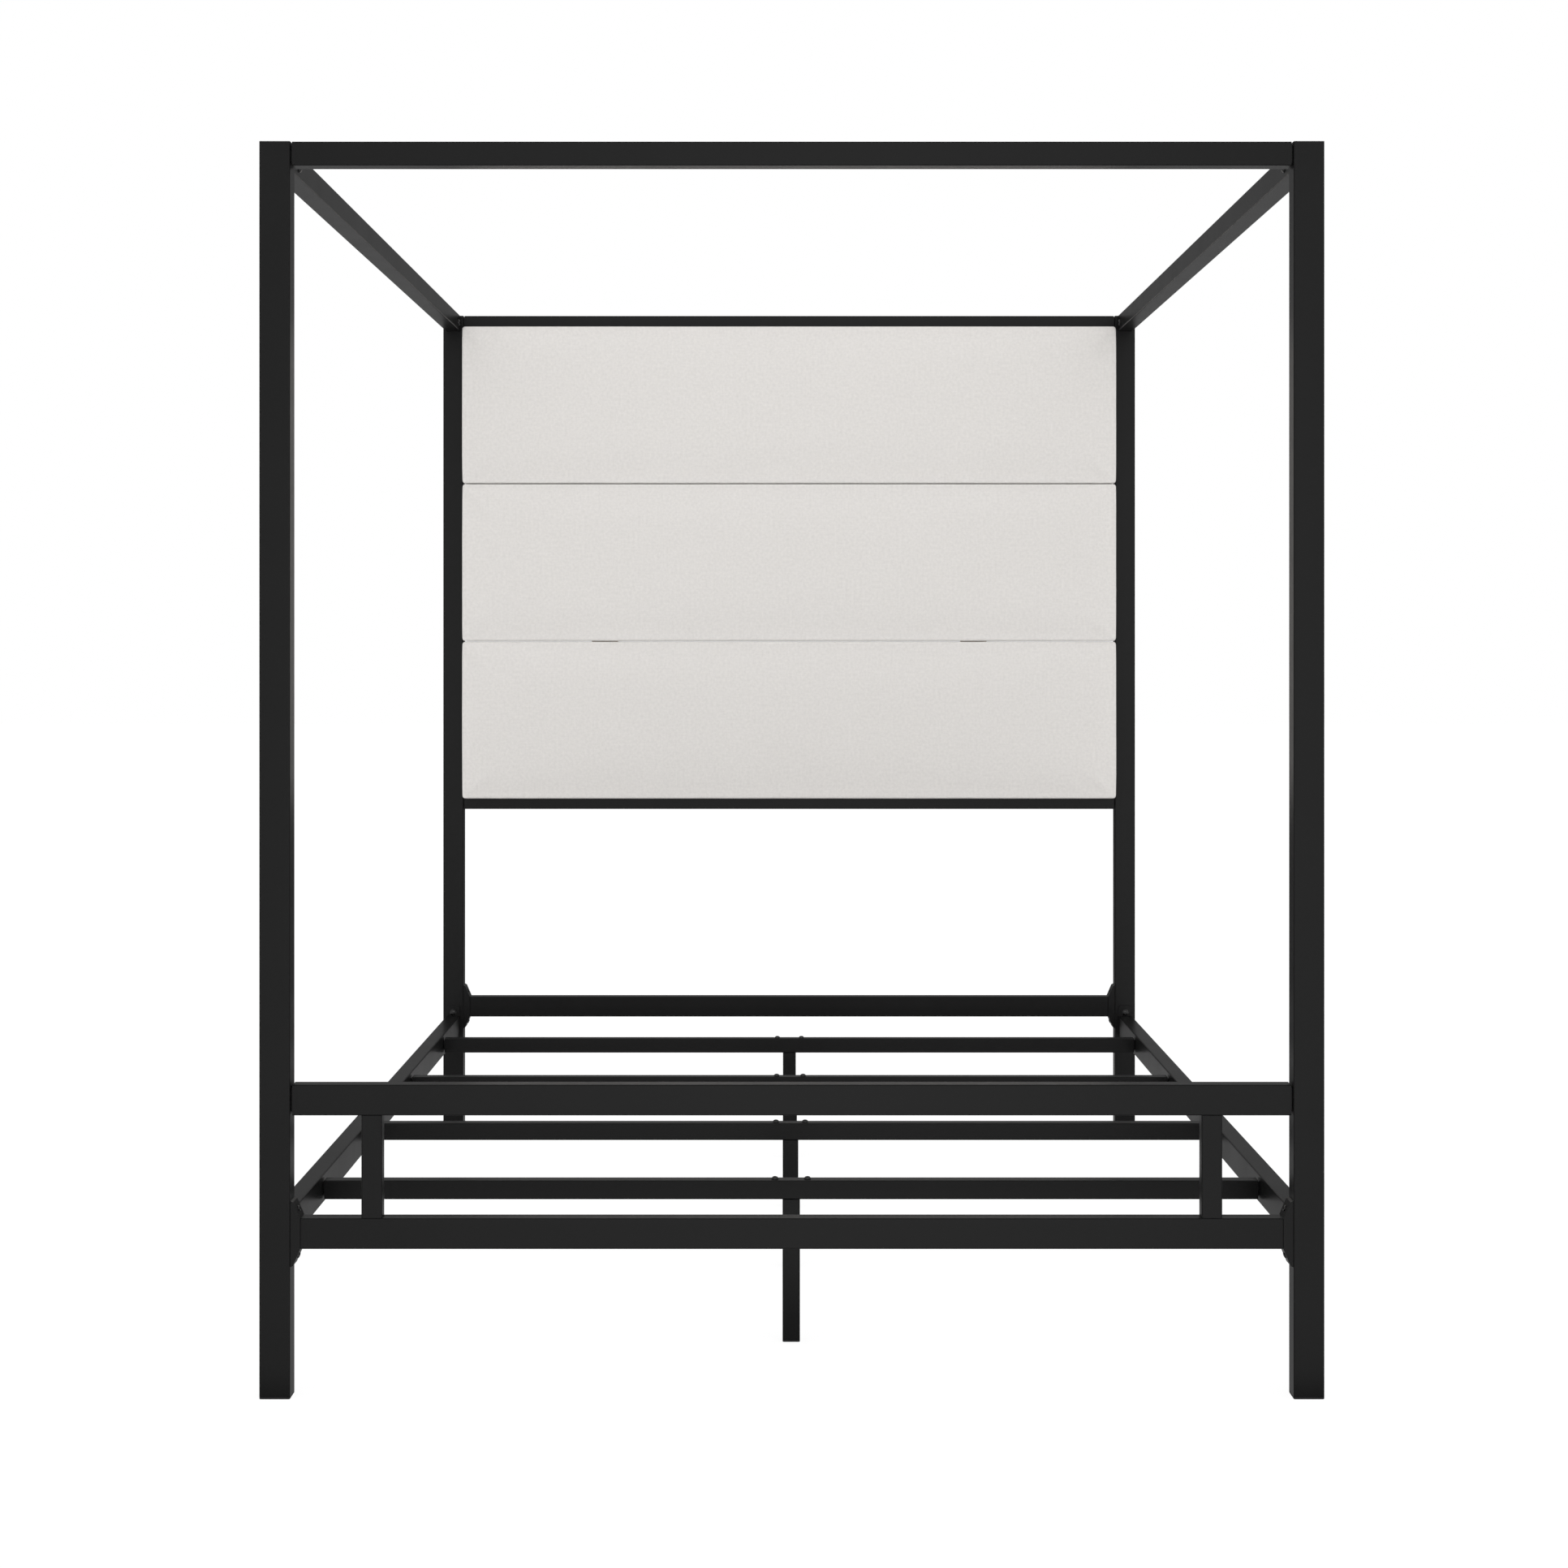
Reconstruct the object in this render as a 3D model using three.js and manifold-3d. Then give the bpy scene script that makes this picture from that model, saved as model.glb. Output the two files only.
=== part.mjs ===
// Four poster canopy bed: a black powder-coated steel tube frame, a headboard of three upholstered
// panels, and four cross slats that each stand on a centre leg.
// Millimetres, +Z up. The origin is on the floor in the middle of the footprint. +Y runs from the
// foot end to the head, and +X is the right-hand side seen from the foot end.
import * as THREE from 'three';
import Module from 'manifold-3d';
import { mergeVertices } from 'three/addons/utils/BufferGeometryUtils.js';

// ---- Driving dimensions -------------------------------------------------------------------------
const WIDTH = 1613; // over the outer faces of the posts
const LENGTH = 2159; // over the front and rear faces of the posts
const HEIGHT = 1905; // floor to the top of the posts

const POST = { width: 46.7, depth: 38.1, wall: 1.5, radius: 2 };
const CANOPY_RAIL = { height: 36.4, depth: 34.1, wall: 1.5, radius: 2.2 };
const BED_RAIL = { height: 46.7, depth: 29.6, wall: 1.5, radius: 2.2 };
const SIDE_RAIL = { height: 46.7, depth: 31, wall: 1.5, radius: 2.2 };
const STRUT = { width: 31.5, depth: 24.4, wall: 1.5, radius: 2 };
const SLAT = { height: 30.9, depth: 27.2, wall: 1.5, radius: 2 };
const LEG = { width: 28.5, depth: 28.5, wall: 1.5, radius: 2 };

const LOWER_RAIL_BOTTOM = 226.4; // footboard lower rail and side rails
const UPPER_RAIL_BOTTOM = 428.9; // footboard upper rail
const REAR_RAIL_BOTTOM = 270.2; // rear lower rail, about one rail height above the side rails
const CROSSBAR_BOTTOM = 754.8; // bottom rail of the headboard
const SLAT_BOTTOM = 233.4;
const FIRST_SLAT_Y = -744.4;
const SLAT_PITCH = 502.1;
const SLAT_NAMES = ['first', 'second', 'third', 'fourth']; // counted from the foot end

const TOUCH = 0.3; // clearance between pieces that rest on each other
const SHADOW_GAP = 2.7; // open joint between the end of a tube and the face that it is fixed to
const NECK_INSET = 5.5; // how far the neck of an end plug stands inside the tube's outer faces
const PLUG = { thickness: 4, recess: 2, bite: 0.5, vent: 10 };
const STRUT_X = 637;
const STRUT_SETBACK = 1;

const FOOT = { sole: 3, soleRounding: 1.2, insert: 18, insertWall: 2.5 };
const POST_CAP = 2;
const LEG_CAP = 3;

const BRACKET = { depth: 34.3, sheet: 2.5, reach: 14.6, lip: 4, halfHeight: 50.2, lipHeight: 48.2 };
const END_PLATE = { height: 93.4, thickness: 3, radius: 5, boltHole: 9, boltOffset: 31.2 };

const PANEL = { bottom: 781, top: 1876.5, proud: 41, radius: 6, sideGap: 1.8, seam: 0.7, skin: 3 };
const BOARD_THICKNESS = 12;
const BOARD_TO_RAIL = 1.5; // from the back of a board to the rails that carry it
const BATTEN = { width: 60, depth: 18, x: 430 };

const SLAT_BOLT = { head: 11.2, rise: 4.2, shank: 7.4, length: 16, hole: 8.4, x: 26.7 };
const POST_BOLT = { head: 12.6, rise: 2.5, shank: 7.4, length: 28, hole: 8.4, z: 495.6 };
const SOCKET = { acrossFlats: 4, depth: 1.6 };
const LEG_STUD = { width: 8, hole: 9, rise: 27.5 };
const LEG_BAR = { length: 84, depth: 20, height: 5 };

const CORNER_STEPS = 2; // half the number of facets round the corner of a tube
const ROUND_STEPS = 12;

// ---- Levels and faces that follow from them -----------------------------------------------------
const postX = (WIDTH - POST.width) / 2;
const postY = (LENGTH - POST.depth) / 2;
const innerX = WIDTH / 2 - POST.width; // inner faces of the posts
const innerY = LENGTH / 2 - POST.depth;
const canopyZ = HEIGHT - CANOPY_RAIL.height / 2;
const sideRailInner = postX - SIDE_RAIL.depth / 2;
const slatTop = SLAT_BOTTOM + SLAT.height;
const panelFront = innerY - PANEL.proud;
const boardBack = postY - CANOPY_RAIL.depth / 2 - BOARD_TO_RAIL;

const ALONG_X = [0, Math.PI / 2, 0]; // local z becomes +X, local x becomes -Z
const ALONG_Y = [-Math.PI / 2, 0, 0]; // local z becomes +Y, local y becomes -Z
const FACING_FRONT = [Math.PI / 2, 0, 0]; // local z becomes -Y, local y becomes +Z
const UPRIGHT = [0, 0, 0];

// ---- Materials ----------------------------------------------------------------------------------
const frameBlack = new THREE.MeshStandardMaterial({ color: 0x1b1b1d, roughness: 0.45, metalness: 0.2 });
const boltBlack = new THREE.MeshStandardMaterial({ color: 0x141415, roughness: 0.35, metalness: 0.6 });
const footPlastic = new THREE.MeshStandardMaterial({ color: 0x101011, roughness: 0.6, metalness: 0 });
const linen = new THREE.MeshStandardMaterial({ color: 0xdedbd8, roughness: 0.95, metalness: 0 });
const plywood = new THREE.MeshStandardMaterial({ color: 0xc8a878, roughness: 0.75, metalness: 0 });
const zincSteel = new THREE.MeshStandardMaterial({ color: 0x9a9a9c, roughness: 0.4, metalness: 0.9 });

const bed = new THREE.Group();

function add(name, geometry, material, position, rotation = UPRIGHT) {
  const mesh = new THREE.Mesh(geometry, material);
  mesh.name = name;
  mesh.position.set(...position);
  mesh.rotation.set(...rotation);
  bed.add(mesh);
}

// ---- Joining and cutting ------------------------------------------------------------------------
const wasm = await Module();
wasm.setup();

function toSolid(geometry) {
  const bare = geometry.clone();
  bare.deleteAttribute('normal');
  bare.deleteAttribute('uv');
  const merged = mergeVertices(bare);
  const vertProperties = new Float32Array(merged.attributes.position.array);
  const triVerts = new Uint32Array(merged.index.array);
  return new wasm.Manifold(new wasm.Mesh({ numProp: 3, vertProperties, triVerts }));
}

function toGeometry(solid) {
  const { vertProperties, triVerts } = solid.getMesh();
  const geometry = new THREE.BufferGeometry();
  geometry.setAttribute('position', new THREE.BufferAttribute(vertProperties, 3));
  geometry.setIndex(new THREE.BufferAttribute(triVerts, 1));
  geometry.computeVertexNormals();
  return geometry;
}

function build(base, joins, cuts) {
  let solid = toSolid(base);
  for (const piece of joins) solid = solid.add(toSolid(piece));
  for (const piece of cuts) solid = solid.subtract(toSolid(piece));
  return toGeometry(solid);
}

// ---- Shapes used by several pieces --------------------------------------------------------------
function roundedRectangle(path, width, height, radius) {
  const x = width / 2 - radius;
  const y = height / 2 - radius;
  path.absarc(x, y, radius, 0, Math.PI / 2);
  path.absarc(-x, y, radius, Math.PI / 2, Math.PI);
  path.absarc(-x, -y, radius, Math.PI, 1.5 * Math.PI);
  path.absarc(x, -y, radius, 1.5 * Math.PI, 2 * Math.PI);
  path.closePath();
  return path;
}

function extrude(shape, length, start = 0) {
  const settings = { depth: length, bevelEnabled: false, curveSegments: CORNER_STEPS };
  return new THREE.ExtrudeGeometry(shape, settings).translate(0, 0, start);
}

function slab(width, height, radius, length, start = 0) {
  return extrude(roundedRectangle(new THREE.Shape(), width, height, radius), length, start);
}

function block(width, height, length, start = 0) {
  return new THREE.BoxGeometry(width, height, length).translate(0, 0, start + length / 2);
}

// A rectangular tube with rounded outer corners, open at both ends, from z = 0 to z = length.
function tube(width, height, wall, radius, length) {
  const shape = roundedRectangle(new THREE.Shape(), width, height, radius);
  const x = width / 2 - wall;
  const y = height / 2 - wall;
  const bore = [[x, y], [-x, y], [-x, -y], [x, -y]].map((corner) => new THREE.Vector2(...corner));
  shape.holes.push(new THREE.Path(bore));
  return extrude(shape, length);
}

function rod(diameter, length, x, y, z) {
  const geometry = new THREE.CylinderGeometry(diameter / 2, diameter / 2, length, ROUND_STEPS);
  return geometry.rotateX(Math.PI / 2).translate(x, y, z + length / 2);
}

// Cuts one wall of a tube: the wall whose outer face is at x = face, at height z along the tube.
function wallHole(diameter, wall, face, z) {
  return rod(diameter, 3 * wall, 0, 0, 0).rotateY(Math.PI / 2).translate(face - 1.5 * wall, 0, z);
}

// A tube with a welded plug in each mouth. The plug's neck stands out over the shadow gap and meets
// the face that the tube is fixed to. A vent hole leaves the bore open.
function railTube(width, height, wall, radius, span) {
  const length = span - 2 * SHADOW_GAP;
  const bore = [width - 2 * wall + PLUG.bite, height - 2 * wall + PLUG.bite];
  const neck = [width - 2 * NECK_INSET, height - 2 * NECK_INSET];
  const neckLength = SHADOW_GAP - TOUCH + PLUG.recess + PLUG.thickness / 2;
  const plugs = [PLUG.recess, length - PLUG.recess - PLUG.thickness].map((start) => (
    block(bore[0], bore[1], PLUG.thickness, start)));
  const necks = [TOUCH - SHADOW_GAP, length + SHADOW_GAP - TOUCH - neckLength].map((start) => (
    block(neck[0], neck[1], neckLength, start)));
  const ventLength = 2 * neckLength;
  const vents = [-neckLength, length - neckLength].map((start) => rod(PLUG.vent, ventLength, 0, 0, start));
  return build(tube(width, height, wall, radius, length), [...plugs, ...necks], vents);
}

function acrossBed(name, geometry, halfSpan, y, bottom, height) {
  add(name, geometry, frameBlack, [-halfSpan + SHADOW_GAP, y, bottom + height / 2], ALONG_X);
}

// ---- Posts and their feet -----------------------------------------------------------------------
const CORNERS = [
  { name: 'front_left', side: -1, end: -1 },
  { name: 'front_right', side: 1, end: -1 },
  { name: 'rear_left', side: -1, end: 1 },
  { name: 'rear_right', side: 1, end: 1 },
];

function postGeometry(side, end) {
  const bottom = FOOT.sole + TOUCH;
  const length = HEIGHT - bottom;
  const cap = slab(POST.width, POST.depth, POST.radius, POST_CAP, length - POST_CAP);
  const boltHole = wallHole(POST_BOLT.hole, POST.wall, side * (POST.width / 2), POST_BOLT.z - bottom);
  const holes = end < 0 ? [boltHole] : [];
  return build(tube(POST.width, POST.depth, POST.wall, POST.radius, length), [cap], holes);
}

// A plastic plug for the foot of a tube: a sole with a softened edge and a hollow insert above it.
function footGeometry(section) {
  const bore = [section.width - 2 * section.wall - 2 * TOUCH, section.depth - 2 * section.wall - 2 * TOUCH];
  const soleShape = roundedRectangle(
    new THREE.Shape(),
    section.width - 2 * FOOT.soleRounding,
    section.depth - 2 * FOOT.soleRounding,
    section.radius - FOOT.soleRounding / 2,
  );
  const sole = new THREE.ExtrudeGeometry(soleShape, {
    depth: FOOT.sole - FOOT.soleRounding,
    curveSegments: CORNER_STEPS,
    bevelThickness: FOOT.soleRounding,
    bevelSize: FOOT.soleRounding,
    bevelSegments: 3,
  });
  sole.translate(0, 0, FOOT.soleRounding);
  const trim = block(2 * section.width, 2 * section.depth, FOOT.sole, FOOT.sole);
  const insert = block(bore[0], bore[1], FOOT.insert, FOOT.sole / 2);
  const cup = bore.map((size) => size - 2 * FOOT.insertWall);
  const hollow = block(cup[0], cup[1], FOOT.insert, FOOT.sole);
  const flatSole = toSolid(sole).subtract(toSolid(trim));
  return toGeometry(flatSole.add(toSolid(insert)).subtract(toSolid(hollow)));
}

for (const { name, side, end } of CORNERS) {
  const place = [side * postX, end * postY];
  add(`post_${name}`, postGeometry(side, end), frameBlack, [...place, FOOT.sole + TOUCH]);
  add(`post_foot_${name}`, footGeometry(POST), footPlastic, [...place, 0]);
}

// ---- Canopy -------------------------------------------------------------------------------------
const crossRail = railTube(
  CANOPY_RAIL.height, CANOPY_RAIL.depth, CANOPY_RAIL.wall, CANOPY_RAIL.radius, 2 * innerX);
const longRail = railTube(
  CANOPY_RAIL.depth, CANOPY_RAIL.height, CANOPY_RAIL.wall, CANOPY_RAIL.radius, 2 * innerY);
const canopyBottom = HEIGHT - CANOPY_RAIL.height;
acrossBed('canopy_rail_foot', crossRail, innerX, -postY, canopyBottom, CANOPY_RAIL.height);
acrossBed('canopy_rail_head', crossRail, innerX, postY, canopyBottom, CANOPY_RAIL.height);
acrossBed('headboard_crossbar', crossRail, innerX, postY, CROSSBAR_BOTTOM, CANOPY_RAIL.height);
for (const [name, side] of [['left', -1], ['right', 1]]) {
  const start = [side * postX, -innerY + SHADOW_GAP, canopyZ];
  add(`canopy_rail_${name}`, longRail, frameBlack, start, ALONG_Y);
}

// ---- Footboard and rear lower rail --------------------------------------------------------------
const upperRail = railTube(BED_RAIL.height, BED_RAIL.depth, BED_RAIL.wall, BED_RAIL.radius, 2 * innerX);
const lowerSpan = innerX - BRACKET.reach - TOUCH;
const lowerRail = tube(
  BED_RAIL.height, BED_RAIL.depth, BED_RAIL.wall, BED_RAIL.radius, 2 * (lowerSpan - TOUCH));
acrossBed('footboard_upper_rail', upperRail, innerX, -postY, UPPER_RAIL_BOTTOM, BED_RAIL.height);
const lowerRailStart = -lowerSpan + TOUCH;
const lowerRails = [
  ['footboard_lower_rail', -postY, LOWER_RAIL_BOTTOM],
  ['rear_lower_rail', postY, REAR_RAIL_BOTTOM],
];
for (const [name, y, bottom] of lowerRails) {
  add(name, lowerRail, frameBlack, [lowerRailStart, y, bottom + BED_RAIL.height / 2], ALONG_X);
}

const strutBottom = LOWER_RAIL_BOTTOM + BED_RAIL.height + TOUCH;
const strutLength = UPPER_RAIL_BOTTOM - TOUCH - strutBottom;
const strutY = -postY - (BED_RAIL.depth - STRUT.depth) / 2 + STRUT_SETBACK;
const strut = tube(STRUT.width, STRUT.depth, STRUT.wall, STRUT.radius, strutLength);
add('footboard_strut_left', strut, frameBlack, [-STRUT_X, strutY, strutBottom]);
add('footboard_strut_right', strut, frameBlack, [STRUT_X, strutY, strutBottom]);

// ---- Corner brackets ----------------------------------------------------------------------------
// Folded sheet: a plate against the post, two slanting flaps that run down to the rail, a plate
// against the rail's end and a closed front. The back is open.
function bracketOutline(side) {
  const { reach, lip, halfHeight, lipHeight } = BRACKET;
  const railHalf = BED_RAIL.height / 2;
  const upper = [[0, halfHeight], [lip, lipHeight], [reach, railHalf]];
  const lower = upper.map(([x, y]) => [x, -y]).reverse();
  return new THREE.Shape([...upper, ...lower].map(([x, y]) => new THREE.Vector2(side * x, y)));
}

function bracketHollow(side) {
  const { reach, lip, lipHeight, sheet } = BRACKET;
  const fall = (lipHeight - BED_RAIL.height / 2) / (reach - lip);
  const drop = sheet * Math.hypot(1, fall);
  const flapInside = (x) => lipHeight - fall * (x - lip) - drop;
  const near = sheet;
  const far = reach - sheet;
  const corners = [
    [near, flapInside(near)], [far, flapInside(far)], [far, -flapInside(far)], [near, -flapInside(near)],
  ];
  return new THREE.Shape(corners.map(([x, y]) => new THREE.Vector2(side * x, y)));
}

function bracketGeometry(side) {
  const body = extrude(bracketOutline(-side), BRACKET.depth);
  const hollow = extrude(bracketHollow(-side), BRACKET.depth, -BRACKET.sheet);
  return build(body, [], [hollow]);
}

for (const { name, side, end } of CORNERS) {
  const bottom = end < 0 ? LOWER_RAIL_BOTTOM : REAR_RAIL_BOTTOM;
  const back = end * postY + BRACKET.depth / 2;
  const place = [side * (innerX - TOUCH), back, bottom + BED_RAIL.height / 2];
  add(`corner_bracket_${name}`, bracketGeometry(side), frameBlack, place, FACING_FRONT);
}

// ---- Side rails with welded end plates ----------------------------------------------------------
function sideRailGeometry() {
  const length = 2 * (innerY - TOUCH);
  const { height, thickness, radius, boltHole, boltOffset } = END_PLATE;
  const plates = [0, length - thickness].map((start) => (
    slab(SIDE_RAIL.depth, height, radius, thickness, start)));
  const holes = [];
  for (const start of [-thickness, length - 2 * thickness]) {
    for (const y of [-boltOffset, boltOffset]) holes.push(rod(boltHole, 3 * thickness, 0, y, start));
    holes.push(rod(PLUG.vent, 3 * thickness, 0, 0, start));
  }
  const body = tube(SIDE_RAIL.depth, SIDE_RAIL.height, SIDE_RAIL.wall, SIDE_RAIL.radius, length);
  return build(body, plates, holes);
}

const sideRail = sideRailGeometry();
const sideRailZ = LOWER_RAIL_BOTTOM + SIDE_RAIL.height / 2;
add('side_rail_left', sideRail, frameBlack, [-postX, -innerY + TOUCH, sideRailZ], ALONG_Y);
add('side_rail_right', sideRail, frameBlack, [postX, -innerY + TOUCH, sideRailZ], ALONG_Y);

// ---- Slats, centre legs and what joins them -----------------------------------------------------
function slatGeometry() {
  const body = toSolid(railTube(SLAT.height, SLAT.depth, SLAT.wall, SLAT.radius, 2 * sideRailInner));
  const middle = sideRailInner - SHADOW_GAP;
  const top = -SLAT.height / 2;
  const holes = [
    wallHole(SLAT_BOLT.hole, SLAT.wall, top, middle - SLAT_BOLT.x),
    wallHole(SLAT_BOLT.hole, SLAT.wall, top, middle + SLAT_BOLT.x),
    wallHole(LEG_STUD.hole, SLAT.wall, -top, middle),
  ];
  return toGeometry(holes.reduce((solid, hole) => solid.subtract(toSolid(hole)), body));
}

function legGeometry() {
  const bottom = FOOT.sole + TOUCH;
  const length = SLAT_BOTTOM - TOUCH - bottom;
  const cap = slab(LEG.width, LEG.depth, LEG.radius, LEG_CAP, length - LEG_CAP);
  const stud = rod(LEG_STUD.width, LEG_STUD.rise + LEG_CAP / 2, 0, 0, length - LEG_CAP / 2);
  return build(tube(LEG.width, LEG.depth, LEG.wall, LEG.radius, length), [cap, stud], []);
}

function barGeometry() {
  const holes = [-SLAT_BOLT.x, SLAT_BOLT.x].map((x) => (
    rod(SLAT_BOLT.hole, 2 * LEG_BAR.height, x, 0, -LEG_BAR.height / 2)));
  const studHole = rod(LEG_STUD.hole, 2 * LEG_BAR.height, 0, 0, -LEG_BAR.height / 2);
  return build(block(LEG_BAR.length, LEG_BAR.depth, LEG_BAR.height), [], [...holes, studHole]);
}

// A button-head bolt standing on z = 0, with its shank below and a hexagon socket in its head.
function boltGeometry({ head, rise, shank, length }) {
  const edge = 0.25 * rise;
  const profile = [[0, -length], [shank / 2, -length], [shank / 2, 0], [head / 2, 0], [head / 2, edge]];
  const domeSteps = 3;
  for (let step = 1; step <= domeSteps; step += 1) {
    const angle = (step / domeSteps) * (Math.PI / 2);
    profile.push([(head / 2) * Math.cos(angle), edge + (rise - edge) * Math.sin(angle)]);
  }
  profile[profile.length - 1][0] = 0;
  const outline = profile.map(([radius, z]) => new THREE.Vector2(radius, z));
  const body = new THREE.LatheGeometry(outline, ROUND_STEPS).rotateX(Math.PI / 2);
  const socketRadius = SOCKET.acrossFlats / Math.sqrt(3);
  const socket = new THREE.CylinderGeometry(socketRadius, socketRadius, 2 * SOCKET.depth, 6);
  socket.rotateX(Math.PI / 2).translate(0, 0, rise);
  return build(body, [], [socket]);
}

const slat = slatGeometry();
const leg = legGeometry();
const legFoot = footGeometry(LEG);
const legBar = barGeometry();
const slatBolt = boltGeometry(SLAT_BOLT);
SLAT_NAMES.forEach((name, index) => {
  const y = FIRST_SLAT_Y + index * SLAT_PITCH;
  acrossBed(`slat_${name}`, slat, sideRailInner, y, SLAT_BOTTOM, SLAT.height);
  add(`centre_leg_${name}`, leg, frameBlack, [0, y, FOOT.sole + TOUCH]);
  add(`leg_foot_${name}`, legFoot, footPlastic, [0, y, 0]);
  const barZ = slatTop - SLAT.wall - TOUCH - LEG_BAR.height;
  add(`leg_bar_${name}`, legBar, zincSteel, [0, y, barZ]);
  for (const [side, x] of [['left', -SLAT_BOLT.x], ['right', SLAT_BOLT.x]]) {
    add(`slat_bolt_${name}_${side}`, slatBolt, boltBlack, [x, y, slatTop + TOUCH]);
  }
});

// ---- Bolts in the outer faces of the front posts ------------------------------------------------
const postBolt = boltGeometry(POST_BOLT);
for (const [name, side] of [['left', -1], ['right', 1]]) {
  const place = [side * (WIDTH / 2 + TOUCH), -postY, POST_BOLT.z];
  add(`post_bolt_${name}`, postBolt, boltBlack, place, [0, side * Math.PI / 2, 0]);
}

// ---- Headboard panels, their boards and the battens behind them ---------------------------------
const panelWidth = 2 * (innerX - PANEL.sideGap);
const panelHeight = (PANEL.top - PANEL.bottom - 2 * PANEL.seam) / 3;
const boardWidth = panelWidth - 2 * PANEL.skin - 2 * TOUCH;
const boardHeight = panelHeight - 2 * PANEL.skin - 2 * TOUCH;

function padGeometry() {
  const depth = boardBack - panelFront;
  const body = slab(panelWidth, panelHeight, PANEL.radius, depth);
  const pocketDepth = BOARD_THICKNESS + TOUCH;
  const pocket = block(
    panelWidth - 2 * PANEL.skin, panelHeight - 2 * PANEL.skin, 2 * pocketDepth, -pocketDepth);
  return build(body, [], [pocket]);
}

const pad = padGeometry();
const board = block(boardWidth, boardHeight, BOARD_THICKNESS);
['bottom', 'middle', 'top'].forEach((name, index) => {
  const z = PANEL.bottom + panelHeight / 2 + index * (panelHeight + PANEL.seam);
  add(`headboard_panel_${name}`, pad, linen, [0, boardBack, z], FACING_FRONT);
  add(`headboard_board_${name}`, board, plywood, [0, boardBack, z], FACING_FRONT);
});

const battenBottom = CROSSBAR_BOTTOM + CANOPY_RAIL.height + 2 * TOUCH;
const battenLength = canopyBottom - 2 * TOUCH - battenBottom;
const battenY = boardBack + BOARD_TO_RAIL + BATTEN.depth / 2;
const batten = block(BATTEN.width, BATTEN.depth, battenLength);
add('headboard_batten_left', batten, plywood, [-BATTEN.x, battenY, battenBottom]);
add('headboard_batten_right', batten, plywood, [BATTEN.x, battenY, battenBottom]);

export default bed;
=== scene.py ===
"""Four poster canopy bed: finishes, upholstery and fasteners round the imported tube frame.

The frame's nodes keep their shape and get their finishes here. The three headboard pads and the
bolts, screws and staples are made here, in metres, in the frame's own axes.
"""

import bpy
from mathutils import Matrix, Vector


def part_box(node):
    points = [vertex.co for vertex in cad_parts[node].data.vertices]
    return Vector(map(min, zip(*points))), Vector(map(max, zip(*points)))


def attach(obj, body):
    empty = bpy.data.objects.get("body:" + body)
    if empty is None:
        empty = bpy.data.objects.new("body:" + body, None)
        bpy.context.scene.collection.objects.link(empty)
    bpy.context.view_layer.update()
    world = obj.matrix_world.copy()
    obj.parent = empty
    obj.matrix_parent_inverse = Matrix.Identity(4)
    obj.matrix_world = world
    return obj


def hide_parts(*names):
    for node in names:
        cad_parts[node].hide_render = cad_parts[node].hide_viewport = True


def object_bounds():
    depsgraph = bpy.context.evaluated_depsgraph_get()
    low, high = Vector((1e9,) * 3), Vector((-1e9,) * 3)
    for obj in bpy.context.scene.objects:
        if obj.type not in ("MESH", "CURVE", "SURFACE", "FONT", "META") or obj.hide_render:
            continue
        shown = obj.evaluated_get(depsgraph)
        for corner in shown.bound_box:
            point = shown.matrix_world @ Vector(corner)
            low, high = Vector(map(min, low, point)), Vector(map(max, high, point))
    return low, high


bl_info = {
    "name": "Four poster canopy bed",
    "version": (1, 0, 0),
    "blender": (4, 5, 0),
    "location": "3D View > Sidebar > Canopy Bed",
    "description": "Upholstery, fasteners, finishes and a studio for a four poster canopy bed",
    "category": "Object",
}

import math

import bmesh
import bpy
from bpy.props import FloatProperty, FloatVectorProperty, IntProperty, PointerProperty
from mathutils import Vector, noise
from mathutils.kdtree import KDTree

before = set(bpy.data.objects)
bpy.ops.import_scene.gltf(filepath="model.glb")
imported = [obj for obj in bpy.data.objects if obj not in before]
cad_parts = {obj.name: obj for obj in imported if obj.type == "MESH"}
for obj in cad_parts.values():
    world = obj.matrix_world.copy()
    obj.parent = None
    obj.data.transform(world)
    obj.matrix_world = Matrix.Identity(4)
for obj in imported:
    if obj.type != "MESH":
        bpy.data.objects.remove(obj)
cad_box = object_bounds()

MM = 0.001
BODY = "root"
SIDES = (-1, 1)
SLAT_NAMES = ("first", "second", "third", "fourth")
PANEL_NAMES = ("bottom", "middle", "top")
CORNER_NAMES = ("front_left", "front_right", "rear_left", "rear_right")
SMOOTH_ANGLE = math.radians(32)

FLANGE = 0.9 * MM               # thickness of the flange under a button head
CANOPY_BOLT_DROP = 2.8 * MM     # from the middle of a canopy rail down to its bolts
FOLD_DEPTH = 0.95 * MM          # how far the cover's folded strip stands behind the pad
HELD_DEPTH = 4 * MM             # the cover is held from this far in front of the board
FREE_DEPTH = 20 * MM            # and moves freely from this far in front of that
LAST_FRAME = 20                 # of the cloth simulation
MOVE_SHARE = 4                  # the simulated moves are divided by this before their caps
SEED_STEP = 3.7                 # sets the pads' unevenness apart


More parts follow.
